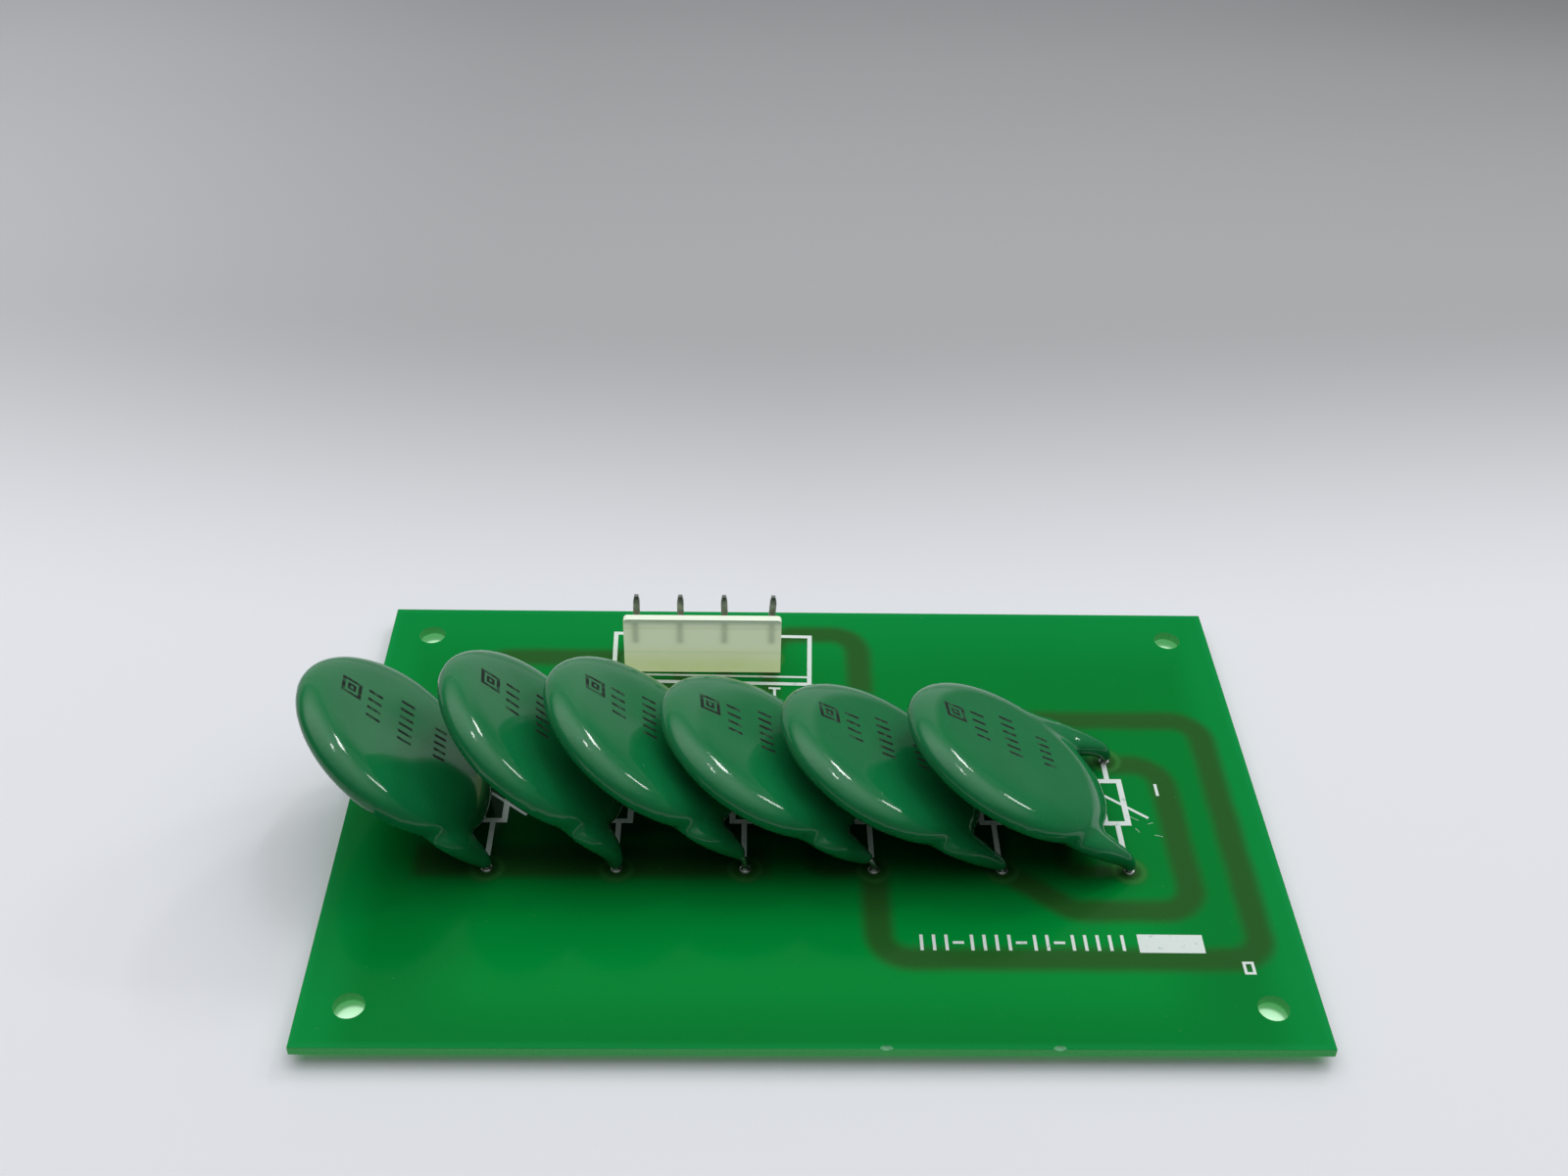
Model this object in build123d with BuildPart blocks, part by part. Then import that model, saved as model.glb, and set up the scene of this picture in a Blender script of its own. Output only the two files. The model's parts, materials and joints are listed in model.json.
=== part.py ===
from build123d import *
import os
from math import asin, cos, radians, sin, sqrt, tan

# Surge-protection control board: a bare circuit board that carries six large disc varistors and a
# four-pin header. The varistors join every pair of four conductors, which run as wide copper tracks
# on the underside. Millimetres. The origin is the centre of the four mounting holes on the board's
# underside, X runs along the board, Y from the front edge to the header edge and Z up.

# Board
board_length = 150.0
board_depth = 100.0
board_thickness = 1.6
mounting_margin = 7.5
mounting_hole_radius = 2.35
nick_places = (10.1, 35.0)
nick_radius = 0.9
nick_depth = 0.35

# Varistors: the row of lead holes, and the size of the dipped disc
varistor_count = 6
varistor_pitch = 20.32
lead_spacing = 25.4
front_row_from_edge = 34.7
disc_radius = 18.3
disc_thickness = 5.4
shoulder_width = 5.5
ceramic_thickness = 2.8

# How each varistor has been pushed over, from number 1 at the right to number 6 at the left: lean from
# upright in degrees, height of the bend over the board, distance along the leads from the bend to the
# disc's rim, and how far the disc sits towards the header between its leads
lean_degrees = (62.8, 62.3, 60.2, 54.5, 48.7, 49.0)
bend_heights = (2.20, 1.25, 1.95, 3.15, 3.55, 1.40)
rim_heights = (8.3, 8.1, 7.3, 6.8, 4.3, 6.0)
edge_shifts = (-0.2, 0.4, 0.7, 1.1, 0.9, 0.3)
# Bare wire between the end of the coating and the board, for the same six
bare_lengths = (0.75, 0.75, 2.7, 3.2, 0.8, 0.75)

# Leads, their holes and their joints
lead_radius = 0.5
lead_hole_radius = 0.65
lead_entry = 7.0
bend_share = 0.9
tail_length = 1.9
solder_height = 1.35
solder_radius = 1.75
solder_sag = 0.28
solder_lip = 0.12
collar_radius = 0.95
collar_height = 0.3
collar_sag = 0.06

# Coating that has run down the leads: half-widths across the disc and through it at the lead's inner
# end, at the disc's rim, part of the way down and at its lower end. Near the rim it hangs from the
# middle of the disc's edge, so there it lies off the lead's line by the shift.
run_start_size = (1.8, 0.85)
run_rim_size = (3.4, 1.85)
run_rim_shift = 0.9
run_mid_share = 0.45
run_mid_size = (2.2, 1.6)
run_mid_shift = 0.4
run_end_size = (0.9, 0.9)

# Copper on the underside
copper_thickness = 0.07
pad_radius = 2.6
pin_pad_radius = 2.2
track_width = 4.5
link_width = 3.0
earth_width = 7.0
track_corner = 5.0
link_corner = 2.2

# Where the copper runs: its distance from the lead rows, columns, pins and board edges
earth_behind_front_row = 1.7
earth_from_column_6 = 6.5
earth_end_from_column_6 = 11.5
earth_end_from_column_4 = 4.0
outer_from_front_edge = 16.6
outer_from_column_1 = 17.7
outer_behind_rear_row = 10.2
inner_before_front_row = 8.4
inner_before_rear_row = 1.0
inner_from_column_1 = 9.0
inner_end_from_column_1 = 0.5
line_3_behind_pins = 7.0
links_before_rear_row = (5.6, 11.0, 16.2)
link_from_column_3 = 9.4
jogs_before_pins = (12.4, 7.4)

# Header: seven-place nylon body with every other pin fitted
circuit_pitch = 3.96
circuit_places = 7
pin_places = (-3, -1, 1, 3)
empty_places = (-2, 0, 2)
header_x = -17.9
pins_from_edge = 13.6
wall_to_pins = 4.2
wall_thickness = 1.35
wall_height = 12.2
wall_corner = 0.7
base_depth = 9.4
base_height = 4.8
foot_height = 0.35
foot_width = 1.4
foot_inset = 0.9
lock_depth = 0.8
lock_top = 10.6
lock_height = 2.4
lock_land = 0.5
cavity_side = 1.2

# Header pins: square wire with drawn-in ends, and how far each tip has been knocked sideways
pin_side = 1.14
pin_height = 14.3
pin_tip_length = 1.3
pin_tip_side = 0.7
pin_hole_radius = 0.9
pin_tail_length = 1.9
pin_knocks = (0.2, 0.0, -0.2, 0.55)

top = board_thickness
mounting_spacing_x = board_length - 2 * mounting_margin
mounting_spacing_y = board_depth - 2 * mounting_margin
front_row_y = front_row_from_edge - board_depth / 2
pin_row_y = board_depth / 2 - pins_from_edge
lead_offset = ceramic_thickness / 2 + lead_radius
lead_half_width = sqrt((lead_spacing / 2) ** 2 - lead_offset**2)
disc_twist = asin(lead_offset / (lead_spacing / 2))
rear_row_y = front_row_y + lead_spacing
row_sides = {"front": -1, "rear": 1}
row_y = {"front": front_row_y, "rear": rear_row_y}
column_x = [(varistor_count - 1 - 2 * i) / 2 * varistor_pitch for i in range(varistor_count)]
pin_x = [header_x + place * circuit_pitch for place in pin_places]
lead_points = [(x, y) for x in column_x for y in row_y.values()]
pin_points = [(x, pin_row_y) for x in pin_x]

os.makedirs("parts", exist_ok=True)


def save(piece, name):
    piece.part.label = name
    export_step(piece.part, f"parts/{name}.step")


# ---------------------------------------------------------------- board
with BuildPart() as board:
    with BuildSketch():
        Rectangle(board_length, board_depth)
        with GridLocations(mounting_spacing_x, mounting_spacing_y, 2, 2):
            Circle(mounting_hole_radius, mode=Mode.SUBTRACT)
        with Locations(*lead_points):
            Circle(lead_hole_radius, mode=Mode.SUBTRACT)
        with Locations(*pin_points):
            Circle(pin_hole_radius, mode=Mode.SUBTRACT)
    extrude(amount=board_thickness)
    with Locations(*[(x, -board_depth / 2, top + nick_radius - nick_depth) for x in nick_places]):
        Sphere(nick_radius, mode=Mode.SUBTRACT)
save(board, "board")


# ---------------------------------------------------------------- copper
pads = {f"{i + 1} {row}": (x, y) for i, x in enumerate(column_x) for row, y in row_y.items()}
pads |= {f"pin {i + 1}": point for i, point in enumerate(pin_points)}

earth_y = front_row_y + earth_behind_front_row
earth_left_x = column_x[5] - earth_from_column_6
outer_front_y = outer_from_front_edge - board_depth / 2
outer_right_x = column_x[0] + outer_from_column_1
outer_back_y = rear_row_y + outer_behind_rear_row
inner_front_y = front_row_y - inner_before_front_row
inner_right_x = column_x[0] + inner_from_column_1
inner_back_y = rear_row_y - inner_before_rear_row
line_3_back_y = pin_row_y + line_3_behind_pins
upper_link_y, middle_link_y, lower_link_y = [rear_row_y - gap for gap in links_before_rear_row]
between_6_and_5 = (column_x[5] + column_x[4]) / 2
between_5_and_4 = (column_x[4] + column_x[3]) / 2
between_2_and_1 = (column_x[1] + column_x[0]) / 2
left_of_3 = column_x[2] - link_from_column_3
low_jog_y, high_jog_y = [pin_row_y - gap for gap in jogs_before_pins]

nets = {
    "copper_earth": {
        "leads": ("6 front", "5 front", "4 front"),
        "pin": "pin 1",
        "routes": (
            (
                earth_width,
                (
                    (column_x[5] - earth_end_from_column_6, earth_y),
                    (column_x[3] + earth_end_from_column_4, earth_y),
                ),
            ),
            (track_width, ((earth_left_x, earth_y), (earth_left_x, pin_row_y), pads["pin 1"])),
        ),
    },
    "copper_line_1": {
        "leads": ("6 rear", "3 front", "2 rear"),
        "pin": "pin 2",
        "routes": (
            (
                track_width,
                (
                    pads["3 front"],
                    (column_x[2], outer_front_y),
                    (outer_right_x, outer_front_y),
                    (outer_right_x, outer_back_y),
                    (column_x[1], outer_back_y),
                    pads["2 rear"],
                ),
            ),
            (
                link_width,
                (
                    pads["3 front"],
                    (left_of_3, front_row_y),
                    (left_of_3, lower_link_y),
                    (between_6_and_5, lower_link_y),
                    (between_6_and_5, high_jog_y),
                    (pin_x[1], high_jog_y),
                    pads["pin 2"],
                ),
            ),
            (link_width, ((between_6_and_5, rear_row_y), pads["6 rear"])),
        ),
    },
    "copper_line_2": {
        "leads": ("5 rear", "2 front", "1 rear"),
        "pin": "pin 3",
        "routes": (
            (
                track_width,
                (
                    (column_x[0] - inner_end_from_column_1, inner_back_y),
                    (inner_right_x, inner_back_y),
                    (inner_right_x, inner_front_y),
                    (between_2_and_1, inner_front_y),
                    pads["2 front"],
                ),
            ),
            (
                link_width,
                (
                    pads["2 front"],
                    (column_x[1], middle_link_y),
                    (between_5_and_4, middle_link_y),
                    (between_5_and_4, low_jog_y),
                    (pin_x[2], low_jog_y),
                    pads["pin 3"],
                ),
            ),
            (link_width, ((between_5_and_4, rear_row_y), pads["5 rear"])),
        ),
    },
    "copper_line_3": {
        "leads": ("4 rear", "3 rear", "1 front"),
        "pin": "pin 4",
        "routes": (
            (
                track_width,
                (
                    pads["pin 4"],
                    (pin_x[3], line_3_back_y),
                    (column_x[2], line_3_back_y),
                    pads["3 rear"],
                ),
            ),
            (link_width, (pads["pin 4"], (pin_x[3], outer_back_y), pads["4 rear"])),
            (
                link_width,
                (
                    pads["3 rear"],
                    (column_x[2], upper_link_y),
                    (between_2_and_1, upper_link_y),
                    (between_2_and_1, front_row_y),
                    pads["1 front"],
                ),
            ),
        ),
    },
}

for name, net in nets.items():
    net_leads = [pads[lead] for lead in net["leads"]]
    net_pin = pads[net["pin"]]
    with BuildPart() as copper:
        with BuildSketch(Plane.XY.offset(-copper_thickness)):
            for width, points in net["routes"]:
                corner = track_corner if width == track_width else link_corner
                with BuildLine():
                    if len(points) == 2:
                        Line(*points)
                    else:
                        FilletPolyline(*points, radius=corner)
                trace(line_width=width)
            with Locations(*net_leads):
                Circle(pad_radius)
            with Locations(net_pin):
                Circle(pin_pad_radius)
            with Locations(*net_leads):
                Circle(lead_hole_radius, mode=Mode.SUBTRACT)
            with Locations(net_pin):
                Circle(pin_hole_radius, mode=Mode.SUBTRACT)
        extrude(amount=copper_thickness)
    save(copper, name)


# ---------------------------------------------------------------- varistors
# The leads are soldered to opposite faces of the ceramic disc, so the line that joins them crosses
# the disc at a small angle, and a disc that leans straight to the left is turned by that angle.
rim_to_centre = sqrt(disc_radius**2 - lead_half_width**2)
leads = {}
for index in range(varistor_count):
    number = index + 1
    lean = radians(lean_degrees[index])
    bend_height = bend_heights[index]
    rim_height = rim_heights[index]
    up_disc = Vector(-sin(lean), 0, cos(lean))
    across_leads = Vector(cos(lean), 0, sin(lean))
    face = across_leads * cos(disc_twist) + Vector(0, sin(disc_twist), 0)
    chord = across_leads * -sin(disc_twist) + Vector(0, cos(disc_twist), 0)
    middle_y = (front_row_y + rear_row_y) / 2
    bend_middle = Vector(column_x[index], middle_y, top + bend_height)
    centre = bend_middle + up_disc * (rim_height + rim_to_centre) + chord * edge_shifts[index]
    bend_radius = bend_share * bend_height / tan(lean / 2)

    runs = {}
    for row, side in row_sides.items():
        bend = Vector(column_x[index], row_y[row], top + bend_height)
        inner_end = bend + up_disc * (rim_height + lead_entry)
        tail_end = Vector(column_x[index], row_y[row], -tail_length)
        with BuildPart() as lead:
            with BuildLine() as path:
                FilletPolyline(tail_end, bend, inner_end, radius=bend_radius)
            with BuildSketch(Plane(origin=tail_end, z_dir=(0, 0, 1))):
                Circle(lead_radius)
            sweep()
        save(lead, f"lead_{number}_{row}")
        leads[number, row] = lead

        # The coating follows the lead from a little above the board to its end inside the disc
        wire = path.wires()[0]
        bare_end = tail_length + top + bare_lengths[index]
        spine = wire.trim(bare_end / wire.length, 1)
        run_length = spine.length - lead_entry
        stations = (
            (0, run_end_size, 0),
            ((1 - run_mid_share) * run_length, run_mid_size, run_mid_shift),
            (run_length, run_rim_size, run_rim_shift),
            (spine.length, run_start_size, 0),
        )
        sections = []
        for height, size, shift_to_edge in stations:
            along = spine % (height / spine.length)
            to_edge = along.cross(chord) * side
            origin = spine @ (height / spine.length) + to_edge * shift_to_edge
            with BuildSketch(Plane(origin=origin, x_dir=chord, z_dir=along)) as section:
                Ellipse(*size)
            sections.append(section.sketch)
        with BuildPart() as run:
            sweep(sections=sections, path=spine, multisection=True)
        runs[row] = run

    with BuildPart() as varistor:
        with BuildSketch(Plane(origin=centre, x_dir=chord, z_dir=-up_disc)):
            with BuildLine():
                rim = disc_radius - shoulder_width
                half = disc_thickness / 2
                Line((0, -half), (rim, -half))
                EllipticalCenterArc((rim, 0), shoulder_width, half, start_angle=-90, arc_size=180)
                Line((rim, half), (0, half))
                Line((0, half), (0, -half))
            make_face()
        revolve(axis=Axis(centre, face))
        for run in runs.values():
            add(run.part)
        for row in runs:
            add(leads[number, row].part, mode=Mode.SUBTRACT)
    save(varistor, f"varistor_{number}")


# ---------------------------------------------------------------- header
body_length = circuit_places * circuit_pitch
wall_front_y = pin_row_y - wall_to_pins
wall_back_y = wall_front_y + wall_thickness
base_back_y = wall_front_y + base_depth
with BuildPart() as header_housing:
    with BuildSketch(Plane.YZ.offset(header_x - body_length / 2)):
        with BuildLine():
            Polyline(
                (wall_front_y, top + foot_height),
                (base_back_y, top + foot_height),
                (base_back_y, top + base_height),
                (wall_back_y, top + base_height),
                (wall_back_y, top + lock_top - lock_height),
                (wall_back_y + lock_depth, top + lock_top - lock_land),
                (wall_back_y + lock_depth, top + lock_top),
                (wall_back_y, top + lock_top + lock_land),
                (wall_back_y, top + wall_height),
                (wall_front_y, top + wall_height),
                close=True,
            )
        make_face()
    extrude(amount=body_length)
    fillet(header_housing.edges().filter_by(Axis.Y).group_by(Axis.Z)[-1], radius=wall_corner)
    foot_reaches = ((body_length - foot_width) / 2, circuit_pitch / 2)
    foot_xs = [header_x + side * reach for reach in foot_reaches for side in (-1, 1)]
    with BuildSketch(Plane.XY.offset(top)):
        with Locations(*[(x, wall_front_y + base_depth / 2) for x in foot_xs]):
            Rectangle(foot_width, base_depth - 2 * foot_inset)
    extrude(amount=foot_height)
    with BuildSketch(Plane.XY.offset(top)):
        with Locations(*pin_points):
            Rectangle(pin_side, pin_side)
        with Locations(*[(header_x + place * circuit_pitch, pin_row_y) for place in empty_places]):
            Rectangle(cavity_side, cavity_side)
    extrude(amount=base_height, mode=Mode.SUBTRACT)
save(header_housing, "header_housing")

pins = {}
for number, (x, knock) in enumerate(zip(pin_x, pin_knocks), start=1):
    stations = (
        (-pin_tail_length, 0, pin_tip_side),
        (-pin_tail_length + pin_tip_length / 2, 0, pin_side),
        (top + base_height, 0, pin_side),
        (top + pin_height - pin_tip_length, knock, pin_side),
        (top + pin_height, knock, pin_tip_side),
    )
    with BuildPart() as pin:
        for z, aside, side in stations:
            with BuildSketch(Plane.XY.offset(z)):
                with Locations((x + aside, pin_row_y)):
                    Rectangle(side, side)
        loft(ruled=True)
    save(pin, f"header_pin_{number}")
    pins[number] = pin


# ---------------------------------------------------------------- solder
# Each joint fills its plated hole and flares out to the pad under the board. A lead's joint also
# has a small collar on the upper side, while a pin's joint ends flush under the header.
def solder_joint(at, wire, wire_radius, hole_radius, upper):
    pad_face = -copper_thickness
    lip = wire_radius + solder_lip
    with BuildPart() as joint:
        with BuildSketch(Plane(origin=(*at, 0), x_dir=(1, 0, 0), z_dir=(0, -1, 0))):
            with BuildLine():
                Line((0, -solder_height), (lip, -solder_height))
                SagittaArc((lip, -solder_height), (solder_radius, pad_face), -solder_sag)
                Line((solder_radius, pad_face), (hole_radius, pad_face))
                Line((hole_radius, pad_face), (hole_radius, top))
                if upper:
                    Line((hole_radius, top), (collar_radius, top))
                    SagittaArc((collar_radius, top), (lip, top + collar_height), -collar_sag)
                    Polyline((lip, top + collar_height), (0, top + collar_height), (0, -solder_height))
                else:
                    Polyline((hole_radius, top), (0, top), (0, -solder_height))
            make_face()
        revolve(axis=Axis((*at, 0), (0, 0, 1)))
        add(wire.part, mode=Mode.SUBTRACT)
    return joint


for (number, row), lead in leads.items():
    joint = solder_joint(pads[f"{number} {row}"], lead, lead_radius, lead_hole_radius, upper=True)
    save(joint, f"solder_{number}_{row}")
for number, pin in pins.items():
    joint = solder_joint(pads[f"pin {number}"], pin, pin_side / 2, pin_hole_radius, upper=False)
    save(joint, f"solder_pin_{number}")
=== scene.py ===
# %% [markdown]
# # A varistor board, dressed around its CAD frame
# The part is a surge-protection board: a green lacquered board with six dipped disc varistors that
# have been pushed over to the left, and a tall nylon header. Its bare solids come from the CAD
# model. This script loads them, gives each one its real finish, and makes the pieces that a solid
# model leaves out, such as the printing ink. Everything is in metres, in the CAD model's own frame.

# %% Load the CAD frame
import json
import math

import bmesh
import bpy
from mathutils import Matrix, Vector, noise
from mathutils.bvhtree import BVHTree

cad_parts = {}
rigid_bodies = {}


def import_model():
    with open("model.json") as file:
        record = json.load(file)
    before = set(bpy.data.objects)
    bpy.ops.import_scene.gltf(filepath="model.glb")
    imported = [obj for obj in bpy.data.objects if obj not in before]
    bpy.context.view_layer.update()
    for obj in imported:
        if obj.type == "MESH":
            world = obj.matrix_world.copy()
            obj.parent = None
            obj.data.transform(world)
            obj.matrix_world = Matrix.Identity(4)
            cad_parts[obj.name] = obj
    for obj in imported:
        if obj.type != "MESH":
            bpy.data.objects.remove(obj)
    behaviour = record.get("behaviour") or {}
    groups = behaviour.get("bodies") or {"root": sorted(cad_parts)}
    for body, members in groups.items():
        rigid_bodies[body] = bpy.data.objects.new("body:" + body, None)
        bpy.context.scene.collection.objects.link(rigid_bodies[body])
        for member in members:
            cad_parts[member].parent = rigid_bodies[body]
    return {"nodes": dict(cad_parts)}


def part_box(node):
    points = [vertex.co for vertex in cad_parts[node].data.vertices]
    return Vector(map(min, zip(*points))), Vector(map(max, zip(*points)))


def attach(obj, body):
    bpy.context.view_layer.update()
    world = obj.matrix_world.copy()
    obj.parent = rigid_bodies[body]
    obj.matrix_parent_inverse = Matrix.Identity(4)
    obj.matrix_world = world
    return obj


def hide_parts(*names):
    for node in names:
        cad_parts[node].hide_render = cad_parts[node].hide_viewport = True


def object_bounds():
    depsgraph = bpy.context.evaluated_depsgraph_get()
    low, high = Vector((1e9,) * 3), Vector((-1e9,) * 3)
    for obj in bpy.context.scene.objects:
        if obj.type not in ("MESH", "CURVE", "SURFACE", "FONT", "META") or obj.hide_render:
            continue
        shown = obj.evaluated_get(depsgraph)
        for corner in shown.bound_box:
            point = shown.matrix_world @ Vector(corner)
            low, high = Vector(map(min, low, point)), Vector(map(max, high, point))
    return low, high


for leftover in list(bpy.data.objects):
    bpy.data.objects.remove(leftover)
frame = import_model()
cad_low, cad_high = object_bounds()
nodes = frame["nodes"]
scene = bpy.context.scene
MM = 0.001
print("CAD box in mm:", [round(v / MM, 1) for v in (*cad_low, *cad_high)])

# %% [markdown]
# ## Camera
# The board is seen from the front and above, from about a forearm's length away. A camera is placed
# by its eye point and three axes: where it looks, what is to its right and what is up. A turned
# camera object needs these axes as the columns of its matrix, and Blender's camera looks along its
# own -Z.

# %% Camera
EYE = Vector((-11.4, -209.4, 207.5)) * MM
LOOK = Vector((0.02495, 0.79144, -0.61073))
ROLL = math.radians(-1.6)
LENS, FILM_WIDTH, NEAREST = 40.64, 36, 0.01


def turned_axes(look, roll):
    """Right, up and back axes for a view along look, rolled about it."""
    right = look.cross(Vector((0, 0, 1))).normalized()
    up = right.cross(look)
    turn = Matrix.Rotation(roll, 3, look)
    return turn @ right, turn @ up, -look


camera_data = bpy.data.cameras.new("camera")
camera_data.lens = LENS
camera_data.sensor_width = FILM_WIDTH
camera_data.clip_start = NEAREST
camera = bpy.data.objects.new("camera", camera_data)
scene.collection.objects.link(camera)
camera.matrix_world = Matrix(turned_axes(LOOK.normalized(), ROLL)).transposed().to_4x4()
camera.matrix_world.translation = EYE
scene.camera = camera
scene.view_settings.view_transform = "Standard"
print("camera right axis:", [round(v, 4) for v in camera.matrix_world.col[0][:3]])

# %% [markdown]
# ## Shader sums as plain Python
# A procedural finish is mostly arithmetic on positions and noise. Building it node by node hides
# the idea, so a small class wraps a node's socket and turns +, -, * and / on it into Math nodes.
# Then a mask reads like the formula that it is. Every other node comes from one function, which
# takes the node's type, its settings and its sockets.

# %% The socket wrapper
class Value:
    """A node's output socket, to reckon with."""

    def __init__(self, tree, socket):
        self.tree, self.socket = tree, socket

    def math(self, operation, *others):
        return node(self.tree, "ShaderNodeMath", {"operation": operation}, [self, *others])

    def __add__(self, other):
        return self.math("ADD", other)

    def __sub__(self, other):
        return self.math("SUBTRACT", other)

    def __rsub__(self, other):
        return node(self.tree, "ShaderNodeMath", {"operation": "SUBTRACT"}, [other, self])

    def __mul__(self, other):
        return self.math("MULTIPLY", other)

    def __truediv__(self, other):
        return self.math("DIVIDE", other)

    __radd__ = __add__
    __rmul__ = __mul__

    def __abs__(self):
        return self.math("ABSOLUTE")

    def ramp(self, low, high):
        """0 at low, 1 at high, smooth between, in either order."""
        if low > high:
            return 1 - self.ramp(high, low)
        settings = {"interpolation_type": "SMOOTHSTEP"}
        sockets = {"Value": self, "From Min": low, "From Max": high}
        return node(self.tree, "ShaderNodeMapRange", settings, sockets)


def set_socket(tree, socket, value):
    """Links a Value to an input socket, or sets the socket to a number or an (r, g, b) colour."""
    if isinstance(value, Value):
        tree.links.new(value.socket, socket)
    elif socket.type == "RGBA":
        socket.default_value = (*value, 1)
    else:
        socket.default_value = value


def node(tree, kind, settings=None, inputs=(), output=0):
    """Adds a node: its settings first, then its sockets, given by place or by name.

    It gives the output at a place, or a list of them for a tuple of places.
    """
    made = tree.nodes.new(kind)
    for name, value in (settings or {}).items():
        setattr(made, name, value)
    named = inputs.items() if isinstance(inputs, dict) else enumerate(inputs)
    for key, value in named:
        set_socket(tree, made.inputs[key], value)
    if isinstance(output, tuple):
        return [Value(tree, made.outputs[place]) for place in output]
    return Value(tree, made.outputs[output])


# %% Colours, noise and finishes
# The Mix node keeps its factor and colours at these places among its sockets
MIX_SHARE, MIX_FIRST, MIX_SECOND, MIX_RESULT = 0, 6, 7, 2
OBJECT_PLACE = 3


def mix_colour(tree, share, first, second):
    """first where share is 0 and second where it is 1; colours are (r, g, b) or sockets."""
    sockets = {MIX_SHARE: share, MIX_FIRST: first, MIX_SECOND: second}
    return node(tree, "ShaderNodeMix", {"data_type": "RGBA"}, sockets, MIX_RESULT)


def noise_value(tree, at, size, detail=2.0):
    """Smooth noise from 0 to 1 whose lumps are about size metres across."""
    sockets = {"Vector": at, "Scale": 1 / size, "Detail": detail}
    return node(tree, "ShaderNodeTexNoise", None, sockets)


def bumps(tree, at, size, strength, depth=0.1 * MM):
    """A surface that rises and falls with lumps about size metres across."""
    sockets = {"Strength": strength, "Distance": depth, "Height": noise_value(tree, at, size)}
    return node(tree, "ShaderNodeBump", None, sockets)


def axes_of(tree, place):
    """X, Y and Z of a position, in millimetres."""
    parts = node(tree, "ShaderNodeSeparateXYZ", None, [place], output=(0, 1, 2))
    return [part / MM for part in parts]


def finish(name, build, **plain):
    """A Principled material: build(tree, place) gives the sockets that vary, plain the others."""
    material = bpy.data.materials.new(name)
    material.use_nodes = True
    tree = material.node_tree
    shader = tree.nodes["Principled BSDF"]
    for socket, value in plain.items():
        set_socket(tree, shader.inputs[socket.replace("_", " ")], value)
    place = node(tree, "ShaderNodeTexCoord", output=OBJECT_PLACE)
    for socket, value in build(tree, place).items():
        set_socket(tree, shader.inputs[socket], value)
    print("finish", name, "has", len(tree.nodes), "nodes")
    return material


# %% [markdown]
# ## The table
# The board lies on pale paper. A sheet is never evenly bright: it gets darker towards the back and
# lighter to the left, and a little light passes through the board and its mounting holes and glows
# green on it. Lamps could do all of this, but each would also change the board. So this light and
# shade is painted: soft ramps of painted shade and painted light across one big plane, and a
# painted glow for the green light through the board. In front of the board and far to its right the
# sheet is painted darker, a painted shade, because the glossy discs mirror it there.

# %% Paper tones with painted light and shade
BOARD_X, BOARD_Y = cad_high.x / MM, cad_high.y / MM
HOLE_MARGIN = 7.5
HOLE_X, HOLE_Y = BOARD_X - HOLE_MARGIN, BOARD_Y - HOLE_MARGIN
SPOT_RADIUS, SPOT_FADE, SPOT_SHIFT = 2.1, 2.8, 0.2
BLACK, NEAR_BLACK = (0.0, 0.0, 0.0), (0.05, 0.05, 0.05)
PAPER, PAPER_BACK_SHADE = (0.77, 0.78, 0.81), (0.40, 0.405, 0.41)
PAPER_LEFT_LIGHT, PAPER_FRONT_SHADE = (0.95, 0.96, 1.0), (0.20, 0.20, 0.21)
THROUGH_BOARD, THROUGH_HOLE = (0.05, 0.25, 0.07), (0.34, 0.66, 0.37)


def light_through(tree, x, y):
    """The light that reaches the paper through the board and through its four holes."""
    inside = (BOARD_X - abs(x)).math("MINIMUM", BOARD_Y - abs(y))
    glow = mix_colour(tree, inside.ramp(0.0, 3.0), BLACK, THROUGH_BOARD)
    spot = 0.0
    for hole_x in (-HOLE_X, HOLE_X):
        for hole_y in (-HOLE_Y, HOLE_Y):
            dx, dy = x - hole_x, y - hole_y - SPOT_SHIFT
            spot = (dx * dx + dy * dy).ramp(SPOT_FADE**2, SPOT_RADIUS**2) + spot
    return mix_colour(tree, spot, glow, THROUGH_HOLE)


def paper_look(tree, place):
    """Painted light and shade on the paper, as ramps in millimetres from the board's middle."""
    x, y, _ = axes_of(tree, place)
    # Painted shade towards the back, in front and far to the right, and painted light to the left
    paper = mix_colour(tree, (y - abs(x) * 0.08).ramp(35, 165), PAPER, PAPER_BACK_SHADE)
    paper = mix_colour(tree, x.ramp(-60, -260) * 0.24, paper, PAPER_LEFT_LIGHT)
    paper = mix_colour(tree, x.ramp(280, 350), paper, NEAR_BLACK)
    paper = mix_colour(tree, y.ramp(-85, -220) * 0.7, paper, PAPER_FRONT_SHADE)
    return {"Base Color": paper, "Emission Color": light_through(tree, x, y)}


# %% Floor
FLOOR_SIZE = 3.0


def sheet(name, size, place, material):
    """A flat sheet of the set: a grid of one face, put in its place by a matrix."""
    mesh = bpy.data.meshes.new(name)
    bm = bmesh.new()
    bmesh.ops.create_grid(bm, x_segments=1, y_segments=1, size=size, matrix=place)
    bm.to_mesh(mesh)
    bm.free()
    mesh.materials.append(material)
    made = bpy.data.objects.new(name, mesh)
    scene.collection.objects.link(made)
    return made


paper = finish(
    "pale_paper", paper_look, Roughness=0.9, Specular_IOR_Level=0.1, Emission_Strength=1.0
)
floor = sheet("floor", FLOOR_SIZE, Matrix.Translation((0, 0, cad_low.z)), paper)
print("floor at", round(cad_low.z / MM, 2), "mm")

# %% [markdown]
# ## A pale card behind the board
# A glossy surface is mostly what it mirrors, and the lacquer and the discs mirror what stands
# behind the board. A painted world is infinitely far away, so its walls end at the same height in
# every reflection. A low card that is near, and out of the camera's view, gives them a pale band
# with a soft end to the right instead. It glows by itself, so that no lamp is needed for it.

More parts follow.
